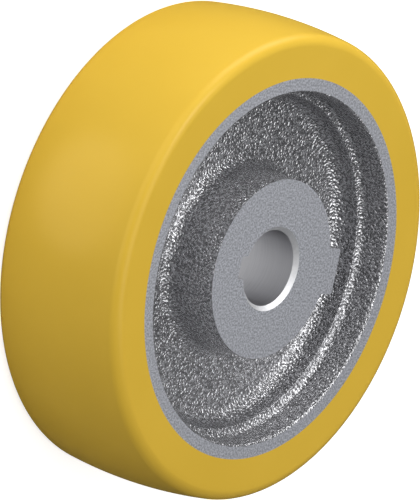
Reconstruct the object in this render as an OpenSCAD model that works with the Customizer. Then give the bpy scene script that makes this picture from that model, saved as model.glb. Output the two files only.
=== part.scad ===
// Drive wheel for heavy trucks: a cast-iron centre with a keyed bore, and a thick
// polyurethane tread bonded round it. The wheel lies on its side, with its axis along +Z
// and the origin at its middle. The boss on the hub points along +X, on the upper side,
// and the keyway lies opposite it.

/* [Wheel] */
// Diameter over the middle of the tread
wheel_d = 250; // [236:2:320]
// Width of the hub, the rim and the tread
wheel_w = 80; // [72:2:120]

/* [Tread] */
// Thickness of the tread at its middle
tread_t = 25; // [12:1:30]
// Radius of the crown across the running surface
crown_r = 250; // [150:10:600]
// Radius where the running surface turns into the side face
tread_edge_r = 6; // [3:0.5:9]

/* [Rim] */
// Thickness of the rim at its mouth
rim_t = 7.5; // [5:0.5:11]
// Cast radius at the inner edge of the rim's machined face
rim_lip_r = 1; // [0.5:0.5:3]
// Depth from the rim's face to the shelf inside it
shelf_depth = 16; // [8:0.5:18]
// Width of the shelf, which thickens the rim towards the web
shelf_w = 4; // [4:0.5:9]
// Radius in the corner between the rim's mouth and the shelf
shelf_root_r = 3.5; // [1:0.5:3.5]

/* [Web] */
// Thickness of the web
web_t = 22; // [12:1:26]
// Radius between the web and the rim
web_root_r = 8; // [3:1:10]

/* [Hub] */
// Diameter of the hub at its faces
hub_d = 94; // [76:2:104]
// Radius between the web and the hub
hub_root_r = 6.5; // [3:0.5:12]

/* [Casting] */
// Draft of the walls inside the casting, in degrees
draft = 2; // [0.5:0.5:3]

/* [Boss on the hub] */
// Width of the boss
boss_w = 24; // [14:1:30]
// Distance that the boss stands out from the hub at its face
boss_h = 7.5; // [4:0.5:12]
// Radius on the outer corners of the boss
boss_corner_r = 1.5; // [0.5:0.5:3]

/* [Bore] */
// Diameter of the bore
bore_d = 40; // [25:1:50]
// Size of the chamfer at each end of the bore
bore_chamfer = 2.2; // [0.6:0.2:3]
// Width of the keyway
key_w = 12; // [8:1:14]
// Depth of the keyway beyond the bore's wall
key_depth = 6; // [3:0.5:7]

/* [Hidden] */
$fn = 128;
// How far a cut or a blend runs past the faces that it starts from
past = 1;
// How far a blend's arc crosses the faces that it joins, so that no sliver is left there
hair = 0.002;

wheel_r = wheel_d / 2;
centre_r = wheel_r - tread_t;
half_w = wheel_w / 2;
half_web = web_t / 2;
hub_r = hub_d / 2;
bore_r = bore_d / 2;

// Corners of the casting's upper section, as [radius, height], from the rim to the hub
rim_face = [centre_r, half_w];
mouth = [centre_r - rim_t, half_w];
shelf_root = mouth - [shelf_depth * tan(draft), shelf_depth];
shelf_edge = shelf_root - [shelf_w, 0];
shelf_drop = shelf_edge.y - half_web;
web_root = shelf_edge - [shelf_drop * tan(draft), shelf_drop];
hub_edge = [hub_r, half_w];
hub_root = [hub_r + (half_w - half_web) * tan(draft), half_web];

// Direction from one point to another
function toward(a, b) = (b - a) / norm(b - a);

// The same corners on the lower side, in the opposite order
function below(corners) = [for (i = [len(corners) - 1:-1:0]) [corners[i].x, -corners[i].y]];

// The space between a corner and the arc of radius r that touches both of its sides, and a
// margin past them. Added to a section it fills an inside corner; taken away it rounds an
// outside one.
module corner(before, at, after, r) {
    u = toward(at, before);
    v = toward(at, after);
    half_angle = acos(u * v) / 2;
    reach = r / tan(half_angle);
    arc_centre = at + toward([0, 0], u + v) * r / sin(half_angle);
    grown = (r + past) / r;
    translate(arc_centre)
        difference() {
            polygon([[0, 0], for (p = [at + u * reach, at, at + v * reach]) (p - arc_centre) * grown]);
            circle(r + hair);
        }
}

// The cast blank's section, from the axis to the rim
module blank_section() {
    upper = [[0, half_w], hub_edge, hub_root, web_root, shelf_edge, shelf_root, mouth, rim_face];
    difference() {
        union() {
            polygon(concat(upper, below(upper)));
            for (side = [0, 1])
                mirror([0, side]) {
                    corner(mouth, shelf_root, shelf_edge, shelf_root_r);
                    corner(shelf_edge, web_root, hub_root, web_root_r);
                    corner(web_root, hub_root, hub_edge, hub_root_r);
                }
        }
        for (side = [0, 1])
            mirror([0, side]) corner(rim_face, mouth, shelf_root, rim_lip_r);
    }
}

// Boss that runs from the web up to the hub's face, flat across its outer side
module boss() {
    out = hub_r + boss_h;
    half_boss = boss_w / 2;
    linear_extrude(half_w)
        difference() {
            translate([0, -half_boss]) square([out, boss_w]);
            for (side = [-1, 1])
                corner([0, side * half_boss], [out, side * half_boss], [out, 0], boss_corner_r);
        }
}

// Bore with a chamfer at each end
module bore_cut() {
    cylinder(h = wheel_w + 2 * past, r = bore_r, center = true);
    for (end = [0, 1])
        mirror([0, 0, end])
            translate([0, 0, half_w - bore_chamfer])
                cylinder(h = bore_chamfer + past, r1 = bore_r, r2 = bore_r + bore_chamfer + past);
}

// Keyway along the whole bore, opposite the boss
module keyway_cut() {
    translate([-(bore_r + key_depth), -key_w / 2, -half_w - past])
        cube([bore_r + key_depth, key_w, wheel_w + 2 * past]);
}

// The casting: rim, web and hub turned as one section, the boss, then the machined bore
module wheel_centre() {
    color("dimgray")
        difference() {
            union() {
                rotate_extrude() blank_section();
                boss();
            }
            bore_cut();
            keyway_cut();
        }
}

// Takes the tread's edge down to an arc that touches the side face and the crown
module tread_edge_cut() {
    crown_centre = [wheel_r - crown_r, 0];
    edge_z = half_w - tread_edge_r;
    arc_reach = crown_r - tread_edge_r;
    arc_centre = [crown_centre.x + sqrt(arc_reach * arc_reach - edge_z * edge_z), edge_z];
    on_crown = crown_centre + toward(crown_centre, arc_centre) * crown_r;
    difference() {
        polygon([arc_centre, [arc_centre.x, half_w], [arc_centre.x, half_w + past],
            [wheel_r + past, half_w + past], [wheel_r + past, on_crown.y], on_crown]);
        translate(arc_centre) circle(tread_edge_r);
    }
}

// The tread: a band with a crowned running surface and round edges
module tread() {
    color("goldenrod")
        rotate_extrude()
            difference() {
                intersection() {
                    translate([centre_r, -half_w]) square([tread_t, wheel_w]);
                    translate([wheel_r - crown_r, 0]) circle(crown_r);
                }
                tread_edge_cut();
                mirror([0, 1]) tread_edge_cut();
            }
}

wheel_centre();
tread();
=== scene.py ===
from math import asin, ceil, cos, pi, radians, sin, tan

import bmesh
import bpy
from mathutils import Matrix, Quaternion, Vector, noise
from mathutils.kdtree import KDTree


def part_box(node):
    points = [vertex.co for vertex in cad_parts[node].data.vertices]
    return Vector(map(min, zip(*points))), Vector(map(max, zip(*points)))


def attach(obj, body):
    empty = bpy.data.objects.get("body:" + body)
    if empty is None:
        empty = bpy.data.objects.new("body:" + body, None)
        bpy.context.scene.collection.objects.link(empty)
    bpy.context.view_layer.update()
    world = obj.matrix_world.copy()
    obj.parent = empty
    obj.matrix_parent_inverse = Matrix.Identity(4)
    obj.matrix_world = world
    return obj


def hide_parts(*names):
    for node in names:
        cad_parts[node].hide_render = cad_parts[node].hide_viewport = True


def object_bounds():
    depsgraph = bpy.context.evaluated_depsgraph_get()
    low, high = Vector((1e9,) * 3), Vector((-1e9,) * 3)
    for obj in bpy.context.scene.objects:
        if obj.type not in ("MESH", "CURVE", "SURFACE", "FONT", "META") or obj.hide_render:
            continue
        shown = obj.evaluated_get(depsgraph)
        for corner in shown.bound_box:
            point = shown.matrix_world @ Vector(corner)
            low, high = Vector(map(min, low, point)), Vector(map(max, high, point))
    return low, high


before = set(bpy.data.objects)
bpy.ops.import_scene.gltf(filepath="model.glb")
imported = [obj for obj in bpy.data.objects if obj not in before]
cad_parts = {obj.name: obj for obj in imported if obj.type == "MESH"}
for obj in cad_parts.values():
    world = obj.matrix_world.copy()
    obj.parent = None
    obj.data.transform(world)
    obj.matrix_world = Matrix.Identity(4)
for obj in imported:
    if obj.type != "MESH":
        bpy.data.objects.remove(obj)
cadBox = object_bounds()
mm = 0.001
scene = bpy.context.scene

# the wheel lies on its side; in the photograph it stands, so these are the photograph's
# own directions across the wheel's face, with the boss 18.7 degrees below its horizontal
bossTurn = radians(18.7)
photoRight = Vector((cos(bossTurn), sin(bossTurn), 0))
photoUp = Vector((-sin(bossTurn), cos(bossTurn), 0))
towardFront = Vector((0, 0, 1))
wheelAxis = (0, 0, 1)


# camera: a long lens, because the photograph is close to a parallel view

view = {
    "lens": 1415.8,
    "distance": 10.036,
    "target": Vector((-0.35, -0.08, -0.51)) * mm,
    "azimuth": radians(170.892),
    "elevation": radians(36.656),
    "roll": radians(107.45),
    "clipEnd": 30,
}


def makeCamera():
    data = bpy.data.cameras.new("camera")
    data.lens = view["lens"]
    data.clip_end = view["clipEnd"]
    camera = bpy.data.objects.new("camera", data)
    scene.collection.objects.link(camera)
    azimuth, elevation = view["azimuth"], view["elevation"]
    back = Vector((cos(elevation) * cos(azimuth), cos(elevation) * sin(azimuth), sin(elevation)))
    turn = back.to_track_quat("Z", "Y") @ Quaternion((0, 0, 1), view["roll"])
    place = Matrix.Translation(view["target"] + back * view["distance"])
    camera.matrix_world = place @ turn.to_matrix().to_4x4()
    scene.camera = camera
    scene.view_settings.view_transform = "Standard"


# material helpers

def newMaterial(name):
    material = bpy.data.materials.new(name)
    material.use_nodes = True
    tree = material.node_tree
    return material, tree, tree.nodes["Principled BSDF"]


def addNode(tree, kind, inputs=None, **settings):
    # inputs are sockets to link from, or plain values
    node = tree.nodes.new(kind)
    for key, value in settings.items():
        setattr(node, key, value)
    for key, value in (inputs or {}).items():
        if isinstance(value, bpy.types.NodeSocket):
            tree.links.new(value, node.inputs[key])
        else:
            node.inputs[key].default_value = value
    return node


def addRamp(tree, factor, stops):
    ramp = addNode(tree, "ShaderNodeValToRGB", {"Fac": factor})
    points = ramp.color_ramp.elements
    for point, (place, colour) in zip(points, stops):
        point.position = place
        point.color = (*colour, 1)
    return ramp.outputs["Color"]


# floor and light

studio = {
    "floorColour": (0.8, 0.8, 0.8),
    "floorRoughness": 0.9,
    "floorReach": 4,
    "floorLift": 0.75,       # added for the camera only, so the floor shows white
    # what shiny surfaces see of the floor: dim, with a bright disc under the bore and one beside
    # the tread, each as place, radius and brightness; the discs are painted glow, not lamps, and
    # they paint a reflection into the bore and a pale sheen on the tread
    "floorDim": 0.03,
    "floorPaintedGlow": [((0, 0, -0.04), 0.035, 0.9), ((-0.178, 0.115, -0.04), 0.07, 3.2)],
    "glowEdge": 0.15,        # softness of a disc's edge, as a share of its radius
    "worldLight": (0.170, 0.173, 0.179),
    # name, place as (right, up, front) in the photograph in metres, size in metres, watts
    "softboxes": [
        ("topRight", (0.55, 0.90, 0.08), 0.9, 10.0),
        ("topLeft", (-0.5, 0.85, 0.3), 0.9, 3.2),
        ("left", (-1.0, 0.35, 0.25), 0.6, 1.45),
        ("front", (0, 0, 1.2), 0.9, 5.3),
        ("topFront", (0.16, 0.62, 0.99), 0.35, 2.2),
        ("glint", (0.16, 0.62, 0.99), 0.35, 1.8),
    ],
}


def photoPlace(right, up, front):
    return photoRight * right + photoUp * up + towardFront * front


def addSoftbox(name, place, size, power):
    data = bpy.data.lights.new(name, "AREA")
    data.shape = "SQUARE"
    data.size = size
    data.energy = power
    lamp = bpy.data.objects.new(name, data)
    lamp.location = place
    lamp.rotation_euler = place.to_track_quat("Z", "Y").to_euler()
    lamp.visible_camera = False
    lamp.visible_diffuse = name != "glint"      # this one only shows in shiny surfaces
    scene.collection.objects.link(lamp)


def addPaintedGlow(tree, spot):
    # painted glow: discs on the floor, bright inside and dim outside, for shiny surfaces to
    # reflect
    edge = studio["glowEdge"]
    discs = []
    for place, radius, level in studio["floorPaintedGlow"]:
        away = addNode(tree, "ShaderNodeVectorMath", {0: spot, 1: photoPlace(*place)},
                       operation="DISTANCE")
        disc = addNode(tree, "ShaderNodeMapRange", {
            "Value": away.outputs["Value"],
            "From Min": radius * (1 + edge), "From Max": radius * (1 - edge),
            "To Min": studio["floorDim"], "To Max": level,
        })
        discs.append(disc.outputs[0])
    glow = discs[0]
    for disc in discs[1:]:
        glow = addNode(tree, "ShaderNodeMath", {0: glow, 1: disc}, operation="MAXIMUM").outputs[0]
    return glow


def mixByRay(tree, ray, otherwise, seen):
    # one shader for the rays of this kind, and another for the rest
    rays = addNode(tree, "ShaderNodeLightPath")
    mix = addNode(tree, "ShaderNodeMixShader", {0: rays.outputs[ray], 1: otherwise, 2: seen})
    return mix.outputs[0]


def makeFloorMaterial():
    material, tree, shader = newMaterial("paleFloor")
    shader.inputs["Base Color"].default_value = (*studio["floorColour"], 1)
    shader.inputs["Roughness"].default_value = studio["floorRoughness"]
    lift = addNode(tree, "ShaderNodeEmission", {"Strength": studio["floorLift"]})
    dark = addNode(tree, "ShaderNodeEmission", {"Strength": 0.0})
    seen = mixByRay(tree, "Is Camera Ray", dark.outputs[0], lift.outputs[0])
    both = addNode(tree, "ShaderNodeAddShader", {0: shader.outputs[0], 1: seen})
    # shiny surfaces see the painted glow discs instead of the lit floor
    spot = addNode(tree, "ShaderNodeTexCoord").outputs["Object"]
    shine = addNode(tree, "ShaderNodeEmission", {"Color": addPaintedGlow(tree, spot)})
    mirrored = mixByRay(tree, "Is Glossy Ray", both.outputs[0], shine.outputs[0])
    tree.links.new(mirrored, tree.nodes["Material Output"].inputs["Surface"])
    return material


def makeFloor():
    bm = bmesh.new()
    bmesh.ops.create_grid(bm, x_segments=1, y_segments=1, size=studio["floorReach"])
    bmesh.ops.translate(bm, verts=bm.verts, vec=(0, 0, cadBox[0].z))
    finishMesh(bm, "floor", [makeFloorMaterial()])


def makeWorld():
    world = bpy.data.worlds.new("studio")
    scene.world = world
    world.use_nodes = True
    tree = world.node_tree
    room = tree.nodes["Background"]
    room.inputs["Color"].default_value = (*studio["worldLight"], 1)
    white = addNode(tree, "ShaderNodeBackground", {"Color": (1, 1, 1, 1)})
    sky = mixByRay(tree, "Is Camera Ray", room.outputs[0], white.outputs[0])
    tree.links.new(sky, tree.nodes["World Output"].inputs["Surface"])


# mesh helpers

def finishMesh(bm, name, materials):
    mesh = bpy.data.meshes.new(name)
    bm.to_mesh(mesh)
    bm.free()
    for material in materials:
        mesh.materials.append(material)
    piece = bpy.data.objects.new(name, mesh)
    scene.collection.objects.link(piece)
    return piece


def roundCorner(bm, vert, radius, step):
    # bevels one corner of a wire outline into an arc that touches both of its edges
    arms = [edge.other_vert(vert).co - vert.co for edge in vert.link_edges]
    opening = arms[0].angle(arms[1])
    bmesh.ops.bevel(bm, geom=[vert], offset=radius / tan(opening / 2), offset_type="OFFSET",
                    segments=max(3, ceil(radius * (pi - opening) / step)), profile=0.5,
                    affect="VERTICES", material=-1)


def divideEdges(bm, edges, step):
    for edge in edges:
        cuts = round(edge.calc_length() / step) - 1
        if cuts > 0:
            bmesh.ops.subdivide_edges(bm, edges=[edge], cuts=cuts)


def sliceMesh(bm, axis, low, high, step):
    # cuts straight through at even steps along one axis
    across = Vector(1.0 if i == axis else 0.0 for i in range(3))
    count = round((high - low) / step)
    for i in range(1, count):
        bmesh.ops.bisect_plane(bm, geom=bm.verts[:] + bm.edges[:] + bm.faces[:],
                               plane_co=across * (low + (high - low) * i / count),
                               plane_no=across)


def makeBlock(size, middle):
    bm = bmesh.new()
    bmesh.ops.create_cube(bm, size=1)
    bmesh.ops.scale(bm, verts=bm.verts, vec=Vector(size) * mm)
    bmesh.ops.translate(bm, verts=bm.verts, vec=Vector(middle) * mm)
    return bm


def spinOutline(bm, turns):
    bmesh.ops.spin(bm, geom=bm.verts[:] + bm.edges[:], cent=(0, 0, 0), axis=wheelAxis,
                   dvec=(0, 0, 0), angle=2 * pi, steps=turns, use_merge=True,
                   use_duplicate=False)
    bmesh.ops.recalc_face_normals(bm, faces=bm.faces)


def combine(target, tool, operation):
    # joins or cuts with another piece, keeps the result and removes the tool
    step = target.modifiers.new("combine", "BOOLEAN")
    step.operation = operation
    step.object = tool
    step.solver = "EXACT"
    step.material_mode = "INDEX"
    done = target.evaluated_get(bpy.context.evaluated_depsgraph_get())
    mesh = bpy.data.meshes.new_from_object(done)
    target.modifiers.clear()
    target.data = mesh
    bpy.data.objects.remove(tool)


makeCamera()
makeFloor()
makeWorld()
for name, place, size, power in studio["softboxes"]:
    addSoftbox(name, photoPlace(*place), size, power)
print("camera, floor and lights ready")


# materials of the wheel: two tones mixed by a noise, most with a fine relief of their own

looks = {
    "castSkin": {            # left rough by the sand
        "tone": {"scale": 850, "detail": 0},
        "stops": [(0.38, (0.29, 0.29, 0.298)), (0.62, (0.67, 0.67, 0.69))],
        "grain": {"scale": 850, "detail": 0}, "grainStrength": 1.0, "grainHeight": 0.0008,
        "Metallic": 0.85, "Roughness": 0.21,
    },
    "turnedIron": {          # flat faces of hub and rim
        "tone": {"scale": 950, "detail": 2},
        "stops": [(0.38, (0.35, 0.36, 0.39)), (0.62, (0.63, 0.64, 0.69))],
        "grain": {"scale": 950, "detail": 2}, "grainStrength": 0.3, "grainHeight": 0.0001,
        "Metallic": 0.5, "Roughness": 0.5,
    },
    "boredIron": {           # stretched into the lines that a boring tool leaves
        "stretch": (40, 40, 2500),
        "tone": {"scale": 1, "detail": 2},
        "stops": [(0.3, (0.70, 0.70, 0.715)), (0.7, (0.76, 0.76, 0.775))],
        "Metallic": 1.0, "Roughness": 0.33,
    },
    # partly painted highlight: the chamfers are the bored iron made rougher, and lighter in tone
    # to keep them bright
    "chamferIronPaintedBright": {           # chamfers of the bore
        "tone": {"scale": 600, "detail": 2},
        "stops": [(0.3, (0.80, 0.80, 0.81)), (0.7, (0.88, 0.88, 0.89))],
        "Metallic": 1.0, "Roughness": 0.55,
    },
    "polyurethane": {
        "tone": {"scale": 14, "detail": 3},
        "stops": [(0.3, (0.76, 0.485, 0.047)), (0.7, (0.80, 0.515, 0.055))],
        "grain": {"scale": 900, "detail": 2}, "grainStrength": 0.08, "grainHeight": 0.0001,
        "Roughness": 0.3, "Specular IOR Level": 0.17,
    },
}


def addNoise(tree, spot, scale, detail):
    node = addNode(tree, "ShaderNodeTexNoise", {"Vector": spot, "Scale": scale, "Detail": detail})
    return node.outputs["Fac"]


def makeSurface(name):
    look = looks[name]
    material, tree, shader = newMaterial(name)
    spot = addNode(tree, "ShaderNodeTexCoord").outputs["Object"]
    if "stretch" in look:
        mapping = addNode(tree, "ShaderNodeMapping", {"Vector": spot, "Scale": look["stretch"]})
        spot = mapping.outputs[0]
    colour = addRamp(tree, addNoise(tree, spot, **look["tone"]), look["stops"])
    tree.links.new(colour, shader.inputs["Base Color"])
    if "grain" in look:
        bump = addNode(tree, "ShaderNodeBump", {
            "Height": addNoise(tree, spot, **look["grain"]),
            "Strength": look["grainStrength"], "Distance": look["grainHeight"],
        })
        tree.links.new(bump.outputs["Normal"], shader.inputs["Normal"])
    for setting in ("Metallic", "Roughness", "Specular IOR Level"):
        if setting in look:
            shader.inputs[setting].default_value = look[setting]
    return material


# casting: rim, web and hub turned as one outline, the boss joined on, the keyway cut out

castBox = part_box("wheel_centre")
casting = {
    "rimRadius": castBox[1].x / mm,
    "halfWidth": castBox[1].z / mm,
    "rimThickness": 7.5,
    "lipRadius": 1.0,
    "shelfDepth": 16.0,
    "shelfWidth": 4.0,
    "shelfRootRadius": 3.5,
    "shelfEdgeRadius": 0.4,
    "webThickness": 22.0,
    "webRootRadius": 8.0,
    "hubRadius": 47.0,
    "hubRootRadius": 6.5,
    "draft": radians(2),
    "boreRadius": 20.0,
    "chamfer": 2.2,
    "keyWidth": 12.0,
    "keyDepth": 6.0,
    "keyExtra": 4.0,         # length of the keyway's cutter beyond the bore
    "bossWidth": 24.0,
    "bossHeight": 7.5,
    "bossCornerRadius": 1.5,
    "bossCornerSteps": 4,
    "bossInHub": 12.0,       # how far the boss starts inside the hub and inside the web
    "bossInWeb": 3.0,
    "bossRootReach": 2.4,    # how far the soft root of the boss spreads
    "bossRootPasses": 6,
    "bossRootFactor": 0.5,
    "skinStep": 1.25,        # size of the mesh on the cast skin
    "turns": 460,
    "relief": 0.10,          # height of the unevenness left by the sand
    "reliefPitch": 4.0,
    "reliefFalloff": 1.0,
    "reliefGrowth": 2.0,
    "reliefLayers": 3,
    "sharpAngle": radians(30),
    "mergeDistance": 0.001,
    "chamferLean": 0.5,      # a bored face whose normal rises more than this is a chamfer
    # margins for picking edges and faces by their place
    "hairline": 0.01,
    "faceMargin": 0.05,
    "rimMargin": 0.5,
    "pickMargin": 1.0,
}
castLooks = ("castSkin", "turnedIron", "boredIron", "chamferIronPaintedBright")
skinSlot, turnedSlot, boredSlot, chamferSlot = range(len(castLooks))


def castCorners():
    # corners of one side as (radius, height, corner radius), from the bore to the rim
    c = casting
    half, halfWeb = c["halfWidth"], c["webThickness"] / 2
    lean = tan(c["draft"])
    mouth = c["rimRadius"] - c["rimThickness"]
    shelfHeight = half - c["shelfDepth"]
    shelfRoot = mouth - c["shelfDepth"] * lean
    shelfEdge = shelfRoot - c["shelfWidth"]
    webRoot = shelfEdge - (shelfHeight - halfWeb) * lean
    hubRoot = c["hubRadius"] + (half - halfWeb) * lean
    return [
        (c["boreRadius"], half - c["chamfer"], 0),
        (c["boreRadius"] + c["chamfer"], half, 0),
        (c["hubRadius"], half, 0),
        (hubRoot, halfWeb, c["hubRootRadius"]),
        (webRoot, halfWeb, c["webRootRadius"]),
        (shelfEdge, shelfHeight, c["shelfEdgeRadius"]),
        (shelfRoot, shelfHeight, c["shelfRootRadius"]),
        (mouth, half, c["lipRadius"]),
        (c["rimRadius"], half, 0),
    ]


def makeBlank():
    c = casting
    front = castCorners()
    back = [(radius, -height, corner) for radius, height, corner in reversed(front)]
    corners = front + back
    bm = bmesh.new()
    verts = [bm.verts.new((radius * mm, 0, height * mm)) for radius, height, corner in corners]
    for first, second in zip(verts, verts[1:] + verts[:1]):
        bm.edges.new((first, second))
    step = c["skinStep"] * mm
    for vert, (radius, height, corner) in zip(verts, corners):
        if corner:
            roundCorner(bm, vert, corner * mm, step)
    start, end = c["hubRadius"] * mm - step, (c["rimRadius"] - c["pickMargin"]) * mm
    skin = [edge for edge in bm.edges if all(start < v.co.x < end for v in edge.verts)]
    divideEdges(bm, skin, step)
    spinOutline(bm, c["turns"])
    return finishMesh(bm, "wheelCasting", [makeSurface(name) for name in castLooks])


def makeBoss():
    c = casting
    inner, outer = c["hubRadius"] - c["bossInHub"], c["hubRadius"] + c["bossHeight"]
    low, high = c["webThickness"] / 2 - c["bossInWeb"], c["halfWidth"]
    halfBoss = c["bossWidth"] / 2
    bm = makeBlock((outer - inner, c["bossWidth"], high - low),
                   ((outer + inner) / 2, 0, (high + low) / 2))
    uprights = [edge for edge in bm.edges
                if all(v.co.x > (outer - c["pickMargin"]) * mm for v in edge.verts)
                and abs(edge.verts[0].co.z - edge.verts[1].co.z) > c["pickMargin"] * mm]
    bmesh.ops.bevel(bm, geom=uprights, offset=c["bossCornerRadius"] * mm, offset_type="OFFSET",
                    segments=c["bossCornerSteps"], profile=0.5, affect="EDGES", material=-1)
    for axis, start, end in ((0, inner, outer), (1, -halfBoss, halfBoss), (2, low, high)):
        sliceMesh(bm, axis, start * mm, end * mm, c["skinStep"] * mm)
    for face in bm.faces:
        face.material_index = turnedSlot
    return finishMesh(bm, "boss", [])


def makeKeywayTool():
    c = casting
    reach, length = c["boreRadius"] + c["keyDepth"], 2 * c["halfWidth"] + c["keyExtra"]
    bm = makeBlock((reach, c["keyWidth"], length), (-reach / 2, 0, 0))
    return finishMesh(bm, "keyway", [])


def softenBossRoot(bm):
    # the boss's faces still carry their own slot, so the root is where the two slots meet
    c = casting
    flat = (c["halfWidth"] - c["faceMargin"]) * mm
    root = [v for v in bm.verts
            if v.co.z < flat and len({face.material_index for face in v.link_faces}) > 1]
    tree = KDTree(len(root))
    for i, vert in enumerate(root):
        tree.insert(vert.co, i)
    tree.balance()
    reach = c["bossRootReach"] * mm
    near = [v for v in bm.verts if v.co.z < flat and tree.find(v.co)[2] < reach]
    for repeat in range(c["bossRootPasses"]):
        bmesh.ops.smooth_vert(bm, verts=near, factor=c["bossRootFactor"],
                              use_axis_x=True, use_axis_y=True, use_axis_z=True)


def sortFaces(bm):
    # turned faces, bored surfaces, chamfers and cast skin each get their own slot
    c = casting
    chamferEnd = c["boreRadius"] + c["chamfer"]
    keyEnd = c["boreRadius"] + c["keyDepth"] + c["pickMargin"]
    for face in bm.faces:
        middle = face.calc_center_median() / mm
        radius = middle.xy.length
        inKeyway = middle.x < 0 and abs(middle.y) < c["keyWidth"] / 2 + c["hairline"]
        onFace = abs(middle.z) > c["halfWidth"] - c["hairline"]
        if onFace or radius > c["rimRadius"] - c["rimMargin"]:
            face.material_index = turnedSlot
        elif abs(face.normal.z) > c["chamferLean"] and radius < chamferEnd:
            face.material_index = chamferSlot
        elif radius < chamferEnd or inKeyway and radius < keyEnd:
            face.material_index = boredSlot
        else:
            face.material_index = skinSlot


def roughenSkin(bm):
    # sand leaves the skin uneven; the edges of the turned faces move only within those faces
    c = casting
    pitch = 1 / (c["reliefPitch"] * mm)
    moves = []
    for vert in bm.verts:
        skin = [face for face in vert.link_faces if face.material_index == skinSlot]
        if not skin:
            continue
        outward = sum((face.normal for face in skin), Vector())
        if len(skin) < len(vert.link_faces):
            outward.z = 0
        height = noise.fractal(vert.co * pitch, c["reliefFalloff"], c["reliefGrowth"],
                               c["reliefLayers"]) * c["relief"] * mm
        moves.append((vert, outward.normalized() * height))
    for vert, move in moves:
        vert.co += move
    bm.normal_update()


def smoothCasting(bm):
    # shaded smooth, apart from the borders of the slots and the corners of machined faces
    for face in bm.faces:
        face.smooth = True
    for edge in bm.edges:
        slots = {face.material_index for face in edge.link_faces}
        corner = skinSlot not in slots and edge.calc_face_angle(0) > casting["sharpAngle"]
        edge.smooth = len(slots) == 1 and not corner


def makeCasting():
    piece = makeBlank()
    combine(piece, makeBoss(), "UNION")
    combine(piece, makeKeywayTool(), "DIFFERENCE")
    bm = bmesh.new()
    bm.from_mesh(piece.data)
    bmesh.ops.remove_doubles(bm, verts=bm.verts, dist=casting["mergeDistance"] * mm)
    softenBossRoot(bm)
    sortFaces(bm)
    bm.normal_update()
    roughenSkin(bm)
    smoothCasting(bm)
    bm.to_mesh(piece.data)
    bm.free()
    return piece


wheelCasting = makeCasting()
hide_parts("wheel_centre")
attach(wheelCasting, "root")
print("casting ready:", len(wheelCasting.data.polygons), "faces")


# tread: a spun band, crowned across, with a round edge on both sides

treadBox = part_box("tread")
tread = {
    "outerRadius": treadBox[1].x / mm,
    "innerRadius": casting["rimRadius"],
    "halfWidth": treadBox[1].z / mm,
    "crownRadius": 250.0,
    "edgeRadius": 6.0,
    "edgeSteps": 14,
    "crownSteps": 30,
    "sideStep": 2.0,
    "turns": 360,
    "sharpAngle": radians(40),
}


def makeTread():
    t = tread
    crownAxis = t["outerRadius"] - t["crownRadius"]
    edgeHeight = t["halfWidth"] - t["edgeRadius"]
    tilt = asin(edgeHeight / (t["crownRadius"] - t["edgeRadius"]))
    edgeAxis = crownAxis + (t["crownRadius"] - t["edgeRadius"]) * cos(tilt)
    bm = bmesh.new()
    first = bm.verts.new((edgeAxis * mm, 0, t["halfWidth"] * mm))
    last = first
    arcs = (
        (edgeAxis, edgeHeight, pi / 2 - tilt, t["edgeSteps"]),
        (crownAxis, 0, 2 * tilt, t["crownSteps"]),
        (edgeAxis, -edgeHeight, pi / 2 - tilt, t["edgeSteps"]),
    )
    for centre, height, angle, steps in arcs:
        made = bmesh.ops.spin(bm, geom=[last], cent=(centre * mm, 0, height * mm),
                              axis=(0, 1, 0), dvec=(0, 0, 0), angle=angle, steps=steps,
                              use_merge=False, use_duplicate=False)
        last = next(item for item in made["geom_last"] if isinstance(item, bmesh.types.BMVert))
    inner = [bm.verts.new((t["innerRadius"] * mm, 0, side * t["halfWidth"] * mm))
             for side in (1, -1)]
    sides = [bm.edges.new((inner[0], first)), bm.edges.new((last, inner[1]))]
    bm.edges.new((inner[1], inner[0]))
    divideEdges(bm, sides, t["sideStep"] * mm)
    spinOutline(bm, t["turns"])
    for face in bm.faces:
        face.smooth = True
    for edge in bm.edges:
        edge.smooth = edge.calc_face_angle(0) < t["sharpAngle"]
    return finishMesh(bm, "wheelTread", [makeSurface("polyurethane")])


wheelTread = makeTread()
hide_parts("tread")
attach(wheelTread, "root")
print("tread ready:", len(wheelTread.data.polygons), "faces")
